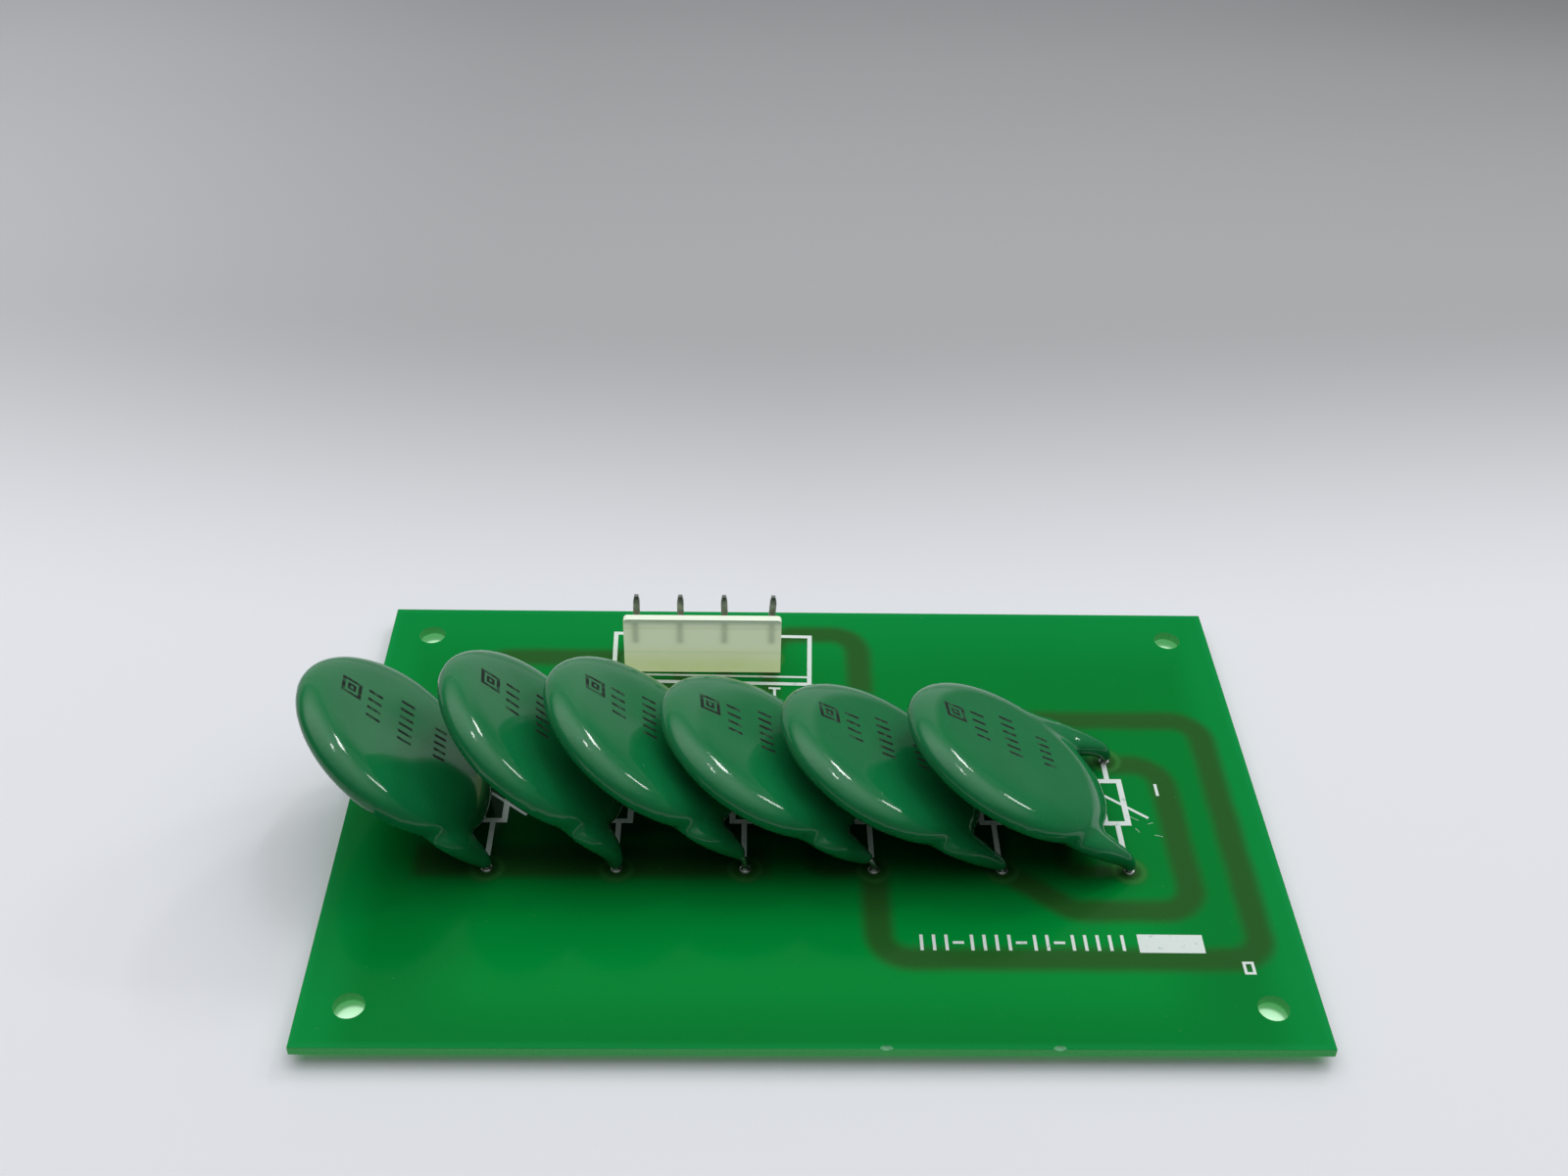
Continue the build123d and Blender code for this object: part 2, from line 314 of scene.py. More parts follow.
# %% Backdrop card
CARD_HALF, CARD_WIDE, CARD_HIGH, CARD_BACK = 0.5, 2.4, 0.28, 0.45
CARD_LIGHT, CARD_DIM = (0.60, 0.61, 0.63), (0.16, 0.17, 0.17)


def card_look(tree, place):
    """A glow that dims to the right."""
    x, _, _ = axes_of(tree, place)
    return {"Emission Color": mix_colour(tree, x.ramp(165, 245), CARD_LIGHT, CARD_DIM)}


card = finish(
    "backdrop_paper", card_look, Base_Color=NEAR_BLACK, Roughness=0.9, Emission_Strength=1.0
)
standing = Matrix.Translation((0, CARD_BACK, cad_low.z + CARD_HIGH / 2))
standing = standing @ Matrix.Rotation(math.radians(90), 4, "X")
standing = standing @ Matrix.Diagonal((CARD_WIDE, CARD_HIGH, 1, 1))
backdrop = sheet("backdrop", CARD_HALF, standing, card)
print("card from", [round(v, 2) for v in backdrop.bound_box[0]], "m")

# %% [markdown]
# ## The room
# Round the table is a plain room: pale walls behind, a bright ceiling, and darker sides and front,
# as where no lamp reaches. Walls and lamps could build it. A world that is painted by direction
# does the same without grain, and it fills the shadows softly. The ceiling is brightest towards the
# back, so that the tilted discs pick up a pale sheen while the board below them stays deep.

# %% World
WORLD_STRENGTH = 1.36
WALL_LOW, WALL_HIGH, UNLIT = (0.38, 0.38, 0.38), (0.30, 0.31, 0.32), (0.06, 0.06, 0.06)
CEILING_FRONT, CEILING_BACK = (0.45, 0.46, 0.47), (1.72, 1.73, 1.76)
CEILING_RIGHT = (0.60, 0.60, 0.62)

world = bpy.data.worlds.new("room")
scene.world = world
world.use_nodes = True
sky = world.node_tree
direction = node(sky, "ShaderNodeTexCoord")
to_right, to_back, rise = node(sky, "ShaderNodeSeparateXYZ", None, [direction], output=(0, 1, 2))
wall = mix_colour(sky, rise.ramp(0.08, 0.28), WALL_LOW, WALL_HIGH)
wall = mix_colour(sky, to_right.ramp(0.50, 0.85) * 0.7, wall, UNLIT)
wall = mix_colour(sky, to_right.ramp(-0.2, -0.7) * 0.8, wall, UNLIT)
wall = mix_colour(sky, to_back.ramp(0.2, -0.4) * 0.8, wall, UNLIT)
ceiling = mix_colour(sky, to_back.ramp(-0.6, 0.6), CEILING_FRONT, CEILING_BACK)
ceiling = mix_colour(sky, to_right.ramp(-0.7, 0.7) * 0.25, ceiling, CEILING_RIGHT)
room = mix_colour(sky, rise.ramp(0.50, 0.88), wall, ceiling)
set_socket(sky, sky.nodes["Background"].inputs["Color"], room)
set_socket(sky, sky.nodes["Background"].inputs["Strength"], WORLD_STRENGTH)
print("room has", len(sky.nodes), "nodes")

# %% [markdown]
# ## Lamps
# A glossy dipped coating shows every lamp as a streak, so the three lamps are small and narrow,
# like ceiling tubes far away: their length and the way they lie set the streaks. They are high up,
# behind the board and to the right, and throw the discs' faint shadows forward and to the left.
# Most of the light comes from the room, so each lamp is weak.

# %% Lamps
def lamp(name, towards, distance, size, power, along=(0, 1, 0)):
    """A flat lamp at a distance in some direction from the board's middle, facing it."""
    data = bpy.data.lights.new(name, "AREA")
    data.shape = "RECTANGLE"
    data.size, data.size_y = size
    data.energy = power
    lamp_object = bpy.data.objects.new(name, data)
    scene.collection.objects.link(lamp_object)
    away = Vector(towards).normalized()
    side = (Vector(along) - away * away.dot(along)).normalized()
    axes = Matrix((side.cross(away), side, away)).transposed()
    lamp_object.matrix_world = Matrix.Translation(away * distance) @ axes.to_4x4()


lamp("tube_a", (0.68, 0.95, 1), 1.5, (0.09, 0.22), 1.6)
lamp("tube_b", (0.25, 0.30, 1), 1.3, (0.05, 0.22), 0.9, along=(0.4, 1, 0))
lamp("tube_c", (1.22, 0.72, 1), 1.6, (0.09, 0.26), 1.5, along=(1, -0.3, 0))

# %% [markdown]
# ## The varistors' coating
# A disc varistor is dipped in liquid epoxy and hung up to cure. The coating is thick and glossy,
# slightly wavy, and it runs down the leads in a fillet that no sharp edge survives. The CAD solid
# has the disc and the two runs, but they meet in an edge. A voxel remesh of a copy gives one even
# skin over all of it. Smoothing then rounds the meetings into fillets, and a few tenths of a
# millimetre of dish and noise gives the waviness.

# %% Where a disc is and how it leans
def disc_axes(cad_node):
    """A disc's centre, the way its upper face looks and the line along the board's depth."""
    flat = {}
    for polygon in cad_node.data.polygons:
        key = tuple(round(v, 2) for v in polygon.normal)
        area, middle = flat.get(key, (0.0, Vector()))
        flat[key] = (area + polygon.area, middle + polygon.center * polygon.area)
    widest = sorted(flat.items(), key=lambda face: -face[1][0])[:2]
    (up_key, up_face), (down_key, down_face) = widest
    if up_key[2] < down_key[2]:
        up_key, up_face, down_face = down_key, down_face, up_face
    normal = Vector(up_key).normalized()
    centre = (up_face[1] / up_face[0] + down_face[1] / down_face[0]) / 2
    depth_way = (Vector((0, 1, 0)) - normal * normal.y).normalized()
    return centre, normal, depth_way


VARISTORS = sorted(name for name in nodes if name.startswith("varistor_"))
for name in VARISTORS:
    centre, normal, _ = disc_axes(nodes[name])
    lean = math.degrees(math.acos(normal.x / math.hypot(normal.x, normal.z)))
    print(name, "centre in mm", [round(v / MM, 1) for v in centre], "leans", round(lean, 1))

# %% One even skin
SKIN = 0.36 * MM
MERGE = 0.001 * MM
CHANNEL_REACH = 0.06 * MM


def remeshed(bm, voxel):
    """A new mesh with one even skin round everything in bm."""
    rough = bpy.data.meshes.new("rough")
    bm.to_mesh(rough)
    carrier = bpy.data.objects.new("carrier", rough)
    scene.collection.objects.link(carrier)
    modifier = carrier.modifiers.new("skin", "REMESH")
    modifier.mode = "VOXEL"
    modifier.voxel_size = voxel
    evaluated = carrier.evaluated_get(bpy.context.evaluated_depsgraph_get())
    mesh = bpy.data.meshes.new_from_object(evaluated)
    bpy.data.objects.remove(carrier)
    bpy.data.meshes.remove(rough)
    return mesh


def closed_skin(name, number):
    """The skin of a varistor's solid, closed over the channels in which its two leads lie."""
    bm = bmesh.new()
    bm.from_mesh(nodes[name].data)
    bmesh.ops.remove_doubles(bm, verts=bm.verts, dist=MERGE)
    for row in ("front", "rear"):
        wire = nodes[f"lead_{number}_{row}"].data
        points = [v.co for v in wire.vertices]
        tree = BVHTree.FromPolygons(points, [p.vertices for p in wire.polygons])
        middles = ((f, f.calc_center_median()) for f in bm.faces)
        channel = [f for f, middle in middles if tree.find_nearest(middle, CHANNEL_REACH)[0]]
        bmesh.ops.delete(bm, geom=channel, context="FACES")
    rims = [e for e in bm.edges if e.is_boundary]
    bmesh.ops.holes_fill(bm, edges=rims, sides=0)
    mesh = remeshed(bm, SKIN)
    bm.free()
    return mesh


# %% Soft meetings, dish and waves
DISC_REACH = 18.9 * MM
PASSES, DISC_PASSES = 5, 30
DISH_DEPTH, DISH_RADIUS = 0.30 * MM, 7 * MM
WAVE_DEPTH, SWELL = 0.07 * MM, 0.15 * MM
LONG_WAVE, SHORT_WAVE, SHORT_SHARE = 11 * MM, 4 * MM, 0.12
SEED_STEP = 0.7


def smoothed(bm, verts, passes):
    """Rounds the meetings of a mesh into fillets."""
    every_way = {"use_axis_x": True, "use_axis_y": True, "use_axis_z": True}
    for _ in range(passes):
        bmesh.ops.smooth_vert(bm, verts=verts, factor=0.5, **every_way)


def waved(bm, centre, normal, number):
    """Dishes both faces of a disc a little, and gives its coating waves of its own."""
    bm.normal_update()
    seed = Vector((number * SEED_STEP, 0, 0))
    moves = []
    for vert in bm.verts:
        local = vert.co - centre
        height = local.dot(normal)
        radius = (local - normal * height).length
        dish = -DISH_DEPTH * math.exp(-((radius / DISH_RADIUS) ** 2)) * math.copysign(1, height)
        wave = noise.noise(vert.co / LONG_WAVE + seed)
        wave += SHORT_SHARE * noise.noise(vert.co / SHORT_WAVE + seed)
        moves.append(normal * dish + vert.normal * (wave * WAVE_DEPTH + SWELL))
    for vert, move in zip(bm.verts, moves):
        vert.co += move


# %% The dipped bodies
# In the flat map each disc's upper face lies MAP_STEP above the last one's, its underside aside
PRINT_FIELD = 40 * MM
MAP_STEP, UNDERSIDE_SHIFT = 10.0, 2


def mapped(bm, centre, normal, depth_way, number):
    """Lays the flat map of the stamped marks on a disc, with its underside moved aside."""
    up_disc = normal.cross(depth_way)
    up_disc *= math.copysign(1, up_disc.z)
    disc_map = bm.loops.layers.uv.new("disc")
    for face in bm.faces:
        face.smooth = True
        for loop in face.loops:
            local = loop.vert.co - centre
            across, along = local.dot(depth_way) / PRINT_FIELD, local.dot(up_disc) / PRINT_FIELD
            aside = UNDERSIDE_SHIFT if local.dot(normal) < 0 else 0
            loop[disc_map].uv = (across + aside, along + number * MAP_STEP)


def new_object(name, mesh, material):
    """Puts a finished mesh into the scene as a piece that rides on the part."""
    piece = bpy.data.objects.new(name, mesh)
    scene.collection.objects.link(piece)
    mesh.materials.clear()
    mesh.materials.append(material)
    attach(piece, "root")
    return piece


def dipped_body(name, number, material):
    """The dipped piece that stands for a varistor's solid."""
    centre, normal, depth_way = disc_axes(nodes[name])
    mesh = closed_skin(name, number)
    bm = bmesh.new()
    bm.from_mesh(mesh)
    on_disc = [v for v in bm.verts if (v.co - centre).length < DISC_REACH]
    smoothed(bm, bm.verts, PASSES)
    smoothed(bm, on_disc, DISC_PASSES)
    waved(bm, centre, normal, number)
    mapped(bm, centre, normal, depth_way, number)
    bm.to_mesh(mesh)
    bm.free()
    piece = new_object(f"dipped_varistor_{number}", mesh, material)
    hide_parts(name)
    return piece


# %% [markdown]
# ## The coating's finish
# The epoxy is a deep green gloss. Its colour shifts a little where the coating is thicker, and the
# ink stamped on each upper face is rubbed. What the maker printed there is replaced by plain marks:
# an open square with a smaller one in it, and three rows of upright bars. They are drawn in the
# disc's own map, so that they follow its face, each as a distance formula with a soft edge.

# %% Stamped marks
STAMP_X, STAMP_Y = 3.4, 10.7
# Half width, half height and stroke of the two squares, in millimetres
STAMP_BOXES = ((1.7, 1.5, 0.42), (0.6, 0.5, 0.36))
# Start, number of bars, pitch, middle line and half height of each row
PRINT_ROWS = ((-2.0, 4, 2.1, 6.3, 1.3), (-2.8, 6, 1.9, 0.3, 1.3), (-2.2, 5, 1.8, -6.2, 1.1))
BAR_HALF, BAR_FADE, END_FADE = 0.26, 0.42, 0.1


def box_outline(x, y, half_width, half_height, stroke):
    """1 on the outline of a box about the origin of x and y."""
    outside = (abs(x) - half_width).math("MAXIMUM", abs(y) - half_height)
    return 1 - abs(outside).ramp(stroke * 0.5, stroke)


def print_row(x, y, start, bars, pitch, middle, half_height):
    """A row of upright bars from x = start, centred on y = middle."""
    run = (x - start) / pitch
    bar_x = (run.math("FRACT") - 0.5) * pitch
    in_row = run.math("GREATER_THAN", 0) * run.math("LESS_THAN", bars)
    in_height = abs(y - middle).ramp(half_height + END_FADE, half_height - END_FADE)
    return abs(bar_x).ramp(BAR_FADE, BAR_HALF) * in_height * in_row


def stamped_marks(tree):
    """1 where a disc's upper face is stamped."""
    disc_map = node(tree, "ShaderNodeUVMap", {"uv_map": "disc"})
    across, along = node(tree, "ShaderNodeSeparateXYZ", None, [disc_map], output=(0, 1))
    along = (along + MAP_STEP / 2).math("MODULO", MAP_STEP) - MAP_STEP / 2
    x, y = across * (PRINT_FIELD / MM), along * (PRINT_FIELD / MM)
    marks, *others = [box_outline(x - STAMP_X, y - STAMP_Y, *box) for box in STAMP_BOXES]
    for mark in others + [print_row(x, y, *row) for row in PRINT_ROWS]:
        marks = marks.math("MAXIMUM", mark)
    return marks


# %% Green epoxy
EPOXY_THIN, EPOXY_THICK = (0.004, 0.148, 0.042), (0.007, 0.182, 0.053)
STAMP_INK, EPOXY_SPECK = (0.001, 0.006, 0.003), (0.08, 0.3, 0.16)


def epoxy_look(tree, place):
    """Green gloss with rubbed marks; ink is rougher than bare epoxy."""
    rubbed = noise_value(tree, place, 1.6 * MM, 3.0).ramp(0.36, 0.52)
    ink = stamped_marks(tree) * (rubbed * 0.38 + 0.6)
    body = mix_colour(tree, noise_value(tree, place, 7 * MM), EPOXY_THIN, EPOXY_THICK)
    colour = mix_colour(tree, ink, body, STAMP_INK)
    speck = noise_value(tree, place, 0.5 * MM, 1.0).ramp(0.70, 0.78)
    return {
        "Base Color": mix_colour(tree, speck * 0.25, colour, EPOXY_SPECK),
        "Roughness": ink * 0.75 + 0.09,
        "Normal": bumps(tree, place, 1.4 * MM, 0.03),
    }


epoxy = finish("green_epoxy", epoxy_look, IOR=1.41)
for number, name in enumerate(VARISTORS, start=1):
    piece = dipped_body(name, number, epoxy)
    print(piece.name, len(piece.data.polygons), "faces")

# %% [markdown]
# ## The board and the copper seen through it
# The board is glass-epoxy with green lacquer on both sides. The copper is on the underside, yet it
# shows from above as soft brownish bands, because the laminate lets light through. A see-through
# board would need many light bounces and would be lost on export, so the top is painted with the
# copper's shadow. The painting follows the real copper: the board's own mesh is cut into a grid,
# and each of its points stores how far it is from the nearest copper edge.

# %% Distance to the copper
COPPER = sorted(name for name in nodes if name.startswith("copper_"))
SOLDER_BOXES = [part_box(name) for name in nodes if name.startswith("solder_")]
LEAD_AXES = [(low + high) / 2 for low, high in SOLDER_BOXES]
HOLE_REACH = 1.2 * MM
ABOVE_BOARD, DOWN = 5 * MM, Vector((0, 0, -1))


def lead_distance(point):
    """How far a point is from the axis of the nearest lead or pin."""
    return min((point.xy - axis.xy).length for axis in LEAD_AXES)


def copper_field():
    """A function that gives a point's signed distance to the copper's outline, inside below 0."""
    points, walls, tops = [], [], []
    for name in COPPER:
        mesh = nodes[name].data
        first = len(points)
        points += [v.co.copy() for v in mesh.vertices]
        for polygon in mesh.polygons:
            corners = [first + v for v in polygon.vertices]
            if polygon.normal.z > 0.5:
                tops.append(corners)
            elif abs(polygon.normal.z) < 0.5 and lead_distance(polygon.center) >= HOLE_REACH:
                walls.append(corners)
    wall_tree = BVHTree.FromPolygons(points, walls)
    top_tree = BVHTree.FromPolygons(points, tops)
    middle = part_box(COPPER[0])[0].z / 2

    def distance(point):
        away = wall_tree.find_nearest(Vector((*point.xy, middle)))[3]
        below = top_tree.ray_cast(Vector((*point.xy, ABOVE_BOARD)), DOWN)[0]
        return -away if below or lead_distance(point) < HOLE_REACH else away

    return distance


copper_distance = copper_field()
print("copper's edge from the board's middle:", round(copper_distance(Vector()) / MM, 2), "mm")

# %% The board's own mesh, cut into a grid
GRID = 1.25 * MM
SHARP, LONG_EDGE, RIM = 1.2, 1.5 * MM, 0.12 * MM
FARTHEST = 4
board_low, board_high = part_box("board")

bm = bmesh.new()
bm.from_mesh(nodes["board"].data)
bmesh.ops.remove_doubles(bm, verts=bm.verts, dist=MERGE)
corners = [e for e in bm.edges if len(e.link_faces) == 2 and e.calc_face_angle() > SHARP]
rim = [e for e in corners if e.calc_length() > LONG_EDGE]
bmesh.ops.bevel(bm, geom=rim, offset=RIM, segments=2, profile=0.5, affect="EDGES", material=-1)
for axis in (0, 1):
    steps = int((board_high[axis] - board_low[axis]) / GRID)
    for step in range(1, steps):
        at, way = Vector(), Vector()
        at[axis], way[axis] = board_low[axis] + step * GRID, 1
        geometry = bm.verts[:] + bm.edges[:] + bm.faces[:]
        bmesh.ops.bisect_plane(bm, geom=geometry, dist=MERGE, plane_co=at, plane_no=way)
gap_store = bm.verts.layers.float.new("copper_gap")
pad_store = bm.verts.layers.float.new("pad_gap")
for vert in bm.verts:
    vert[gap_store] = max(-FARTHEST, min(FARTHEST, copper_distance(vert.co) / MM))
    vert[pad_store] = lead_distance(vert.co) / MM
board_mesh = bpy.data.meshes.new("lacquered_board")
bm.to_mesh(board_mesh)
bm.free()
print("board:", len(board_mesh.polygons), "faces")

# %% [markdown]
# ## Green lacquer
# On top the lacquer is a flat saturated green. It turns brownish over the copper, with an edge
# blurred by the laminate's thickness, and yellower round each pad. Painted light makes it brighter
# along the back and side edges, where light gets into the laminate, and in the open part before the
# discs. Under the discs hardly any light arrives, so it is painted deeper there. Two chips at the
# front edge and the cut edges show the pale laminate, and the cut edges and hole walls get a
# painted glow for the light that comes out of them.

# %% Lit and unlit lacquer
GREEN_LOW, GREEN_HIGH = (0.0004, 0.182, 0.025), (0.0004, 0.208, 0.032)
OPEN_LIGHT_GREEN, SHADED_GREEN = (0.0004, 0.248, 0.036), (0.0003, 0.014, 0.003)
EDGE_LIGHT_GREEN, RIM_LIGHT_GREEN = (0.002, 0.30, 0.06), (0.010, 0.30, 0.08)


def lit_green(tree, place, x, y):
    """The lacquer's green, painted lighter in the open and where light leaks in at the edges.

    Its ramps run between distances from the board's edges, in millimetres.
    """
    green = mix_colour(tree, noise_value(tree, place, 30 * MM), GREEN_LOW, GREEN_HIGH)
    end_gap = board_high.x / MM - abs(x)
    front_gap, back_gap = y - board_low.y / MM, board_high.y / MM - y
    # Painted light: lighter in the open part before the discs, along the back and sides and at the
    # rim
    open_front_light = front_gap.ramp(36, 22) * front_gap.ramp(0, 14) * end_gap.ramp(13, 27)
    green = mix_colour(tree, open_front_light, green, OPEN_LIGHT_GREEN)
    leak = end_gap.ramp(10, 3).math("MAXIMUM", back_gap.ramp(22, 1))
    green = mix_colour(tree, leak * 0.4, green, EDGE_LIGHT_GREEN)
    nearest = end_gap.math("MINIMUM", front_gap.math("MINIMUM", back_gap))
    return mix_colour(tree, nearest.ramp(1.6, 0.1) * 0.35, green, RIM_LIGHT_GREEN)


def under_discs(x, y):
    """1 on the board under the row of discs, and 0 outside it."""
    return abs(y).ramp(21, 12) * x.ramp(-72, -54) * x.ramp(54, 36)


# %% Lacquer finish
COPPER_SHADOW, PAD_RING = (0.022, 0.095, 0.017), (0.045, 0.22, 0.045)
CUT_LOW, CUT_HIGH, CUT_GLOW = (0.030, 0.24, 0.060), (0.075, 0.34, 0.11), (0.012, 0.075, 0.020)
CHIPPED, LACQUER_DUST = (0.30, 0.58, 0.38), (0.10, 0.33, 0.16)
NICKS = (10.1, 35.0)
ATTRIBUTE_NUMBER, SURFACE_NORMAL = 2, 1


def stored(tree, name):
    """A number that the board's points store."""
    return node(tree, "ShaderNodeAttribute", {"attribute_name": name}, output=ATTRIBUTE_NUMBER)


def top_colour(tree, place):
    """The lacquer from above, with the copper, the pads, the shade and the chips."""
    x, y, _ = axes_of(tree, place)
    gap = stored(tree, "copper_gap") + (noise_value(tree, place, 6 * MM) * 0.5 - 0.25)
    top = mix_colour(tree, gap.ramp(1.2, -1.3) * 0.92, lit_green(tree, place, x, y), COPPER_SHADOW)
    pad_gap = stored(tree, "pad_gap")
    ring = pad_gap.ramp(3.2, 2.5) * pad_gap.ramp(1.6, 2.3)
    top = mix_colour(tree, ring * 0.5, top, PAD_RING)
    top = mix_colour(tree, under_discs(x, y) * 0.8, top, SHADED_GREEN)
    for nick_x in NICKS:
        dx, dy = x - nick_x, y - board_low.y / MM
        chipped = (dx * dx + dy * dy * 2).ramp(1.1, 0.5)
        top = mix_colour(tree, chipped * 0.5, top, CHIPPED)
    return top


def lacquer_look(tree, place):
    """The lacquer where the board lies flat, and bare cut laminate where its surface stands up."""
    facing = node(tree, "ShaderNodeNewGeometry", output=SURFACE_NORMAL)
    upwards = node(tree, "ShaderNodeSeparateXYZ", None, [facing], output=2)
    flat = abs(upwards).ramp(0.25, 0.6)
    cut = mix_colour(tree, noise_value(tree, place, 0.5 * MM, 3.0), CUT_LOW, CUT_HIGH)
    colour = mix_colour(tree, flat, cut, top_colour(tree, place))
    dust = noise_value(tree, place, 0.7 * MM, 1.0).ramp(0.76, 0.82)
    return {
        "Base Color": mix_colour(tree, dust * 0.2, colour, LACQUER_DUST),
        # Painted light: the cut edges and hole walls glow, for light that comes out of the laminate
        "Emission Color": mix_colour(tree, flat, CUT_GLOW, BLACK),
        "Roughness": 0.55 - flat * 0.42,
        "Normal": bumps(tree, place, 1.1 * MM, 0.06),
    }


lacquer = finish(
    "green_lacquer", lacquer_look, IOR=1.45, Specular_IOR_Level=0.025, Emission_Strength=1.0
)
board = new_object("lacquered_board", board_mesh, lacquer)
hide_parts("board")

# %% [markdown]
# ## White legend ink
# The white legend is screen-printed: a film a few hundredths of a millimetre thick, slightly
# chalky, with soft corners. Each stroke becomes a thin flat bar laid on the lacquer. A varistor's
# symbol is a box with a stub at both ends and a slanting stroke through it. The circuits are
# numbered with plain digits, and groups of plain strokes and dashes stand in place of text.

# %% Strokes of ink
INK_HEIGHT, INK_SUNK = 0.03 * MM, 0.005 * MM
TOP = board_high.z
CUBE_FACES = 6
LAYERS, LAYER_HEIGHT = 5, 0.002 * MM
THIN = 0.5


def bar(bm, start, end, width):
    """A thin flat bar from one point to another on the board's top, in millimetres.

    Each is a hair higher than the last, in turns of LAYERS, so that bars that cross seldom have
    their tops at one height.
    """
    start, end = Vector(start), Vector(end)
    run = end - start
    height = INK_HEIGHT + len(bm.faces) // CUBE_FACES % LAYERS * LAYER_HEIGHT
    place = Matrix.Translation((*((start + end) / 2 * MM), TOP + height / 2 - INK_SUNK))
    turn = Matrix.Rotation(math.atan2(run.y, run.x), 4, "Z")
    size = Matrix.Diagonal(((run.length + width) * MM, width * MM, height, 1))
    bmesh.ops.create_cube(bm, size=1, matrix=place @ turn @ size)


def outline(bm, points, width):
    """A closed outline of bars through the points."""
    for start, end in zip(points, points[1:] + points[:1]):
        bar(bm, start, end, width)


# %% Plain digits
# Seven-segment strokes: a plain digit needs no typeface
SEGMENTS = {
    "top": ((0, 2), (1, 2)), "upper_left": ((0, 1), (0, 2)), "upper_right": ((1, 1), (1, 2)),
    "middle": ((0, 1), (1, 1)), "lower_left": ((0, 0), (0, 1)), "lower_right": ((1, 0), (1, 1)),
    "bottom": ((0, 0), (1, 0)),
}
DIGITS = {
    1: "upper_right lower_right",
    2: "top upper_right middle lower_left bottom",
    3: "top upper_right middle lower_right bottom",
    4: "upper_left upper_right middle lower_right",
    5: "top upper_left middle lower_right bottom",
    6: "top upper_left middle lower_left lower_right bottom",
}
DIGIT_WIDE, DIGIT_HIGH = 1.4, 2.3


def digit(bm, number, corner):
    """A digit whose lower left corner is at corner."""
    left, low = corner
    for segment in DIGITS[number].split():
        steps = SEGMENTS[segment]
        ends = [(left + x * DIGIT_WIDE, low + y * DIGIT_HIGH / 2) for x, y in steps]
        bar(bm, *ends, THIN)


# %% Varistor symbols
STUB, BOX_LINE = 0.85, 0.95
BOX_BACK, BOX_FRONT = 5.1, -4.8
FRONT_ROW = -10 * MM


def varistor_symbol(bm, x, number):
    """The legend of one varistor, in the column whose leads are at x."""
    left, right = x - 2.1, x + 1.6
    box = [(left, BOX_BACK), (right, BOX_BACK), (right, BOX_FRONT), (left, BOX_FRONT)]
    bar(bm, (x - 0.3, 9.2), (x - 0.3, BOX_BACK), STUB)
    outline(bm, box, BOX_LINE)
    bar(bm, (x - 0.2, BOX_FRONT), (x - 0.2, -12.2), STUB)
    bar(bm, (x - 3.6, 3.4), (x + 4.9, -3.4), THIN)
    bar(bm, (x - 3.6, 3.4), (x - 3.6, 5.0), THIN)
    digit(bm, number, (x + 6.2, 1.9))


ink_bm = bmesh.new()
columns = sorted((axis.x / MM for axis in LEAD_AXES if axis.y < FRONT_ROW), reverse=True)
for number, x in enumerate(columns, start=1):
    varistor_symbol(ink_bm, x, number)
print("symbols at", [round(x, 1) for x in columns], "mm")

# %% Outlines, stand-ins for text and scuffs
HEADER_OUTLINE = [(-34.0, 43.4), (1.5, 42.7), (1.1, 29.4), (-33.7, 30.1)]
GROUPS = (3, 4, 2, 5)
GROUPS_X, GROUP_LINE, STROKE_PITCH, GROUP_GAP = 16.6, -30.2, 1.9, 1.2
STROKE_BACK, STROKE_FRONT = -28.9, -31.5
SMALL_SQUARE = [(64.9, -34.0), (66.2, -34.0), (66.2, -36.0), (64.9, -36.0)]
# Start, angle in degrees and length of each scuff
SCUFFS = (((52.9, -3.2), -35, 1.6), ((55.6, -4.9), 20, 0.9), ((53.4, -5.9), -60, 1.0),
          ((56.3, -7.4), -15, 1.3))

# The header's outline is printed a little askew, with a second line along its front
outline(ink_bm, HEADER_OUTLINE, 0.8)
bar(ink_bm, (-33.7, 31.9), (1.1, 31.3), THIN)
bar(ink_bm, (-5.9, 28.3), (-4.3, 28.2), THIN)
bar(ink_bm, (-5.1, 28.2), (-5.1, 25.7), THIN)

# Groups of upright strokes with a dash before each but the first
x = GROUPS_X
for place, group in enumerate(GROUPS):
    if place > 0:
        bar(ink_bm, (x - 1.9, GROUP_LINE), (x - 0.7, GROUP_LINE), THIN)
        x += 0.8
    for _ in range(group):
        bar(ink_bm, (x, STROKE_BACK), (x, STROKE_FRONT), THIN)
        x += STROKE_PITCH
    x += GROUP_GAP
outline(ink_bm, SMALL_SQUARE, 0.45)

# A bare white box where a stamp or a sticker may go
bar(ink_bm, (51.4, -30.3), (57.8, -30.35), 3.6)

# A few scuffs beside the first symbol, each a short stroke at its own angle
for (start_x, start_y), turned, length in SCUFFS:
    way = math.radians(turned)
    end = (start_x + length * math.cos(way), start_y + length * math.sin(way))
    bar(ink_bm, (start_x, start_y), end, 0.06)

ink_mesh = bpy.data.meshes.new("legend")
ink_bm.to_mesh(ink_mesh)
ink_bm.free()
print("legend:", len(ink_mesh.polygons), "faces")

# %% White ink
INK_WHITE, INK_WORN = (0.66, 0.74, 0.70), (0.18, 0.40, 0.24)


def ink_look(tree, place):
    """White, worn through to the green in small patches."""
    worn = noise_value(tree, place, 1.1 * MM, 3.0).ramp(0.60, 0.74)
    return {"Base Color": mix_colour(tree, worn * 0.5, INK_WHITE, INK_WORN), "Roughness": 0.6}


new_object("white_legend", ink_mesh, finish("white_ink", ink_look))

# %% [markdown]
# ## Metal
# The leads are tinned copper and the header pins tinned brass: grey and faintly mottled by the dip.
# The solder and the pins are a darker grey than the wires. Nearly all that shows on a metal is
# mirrored, so its own colour and roughness only wander a little. The copper under the board carries
# the same green lacquer as the board, so it isn't made as bare metal.

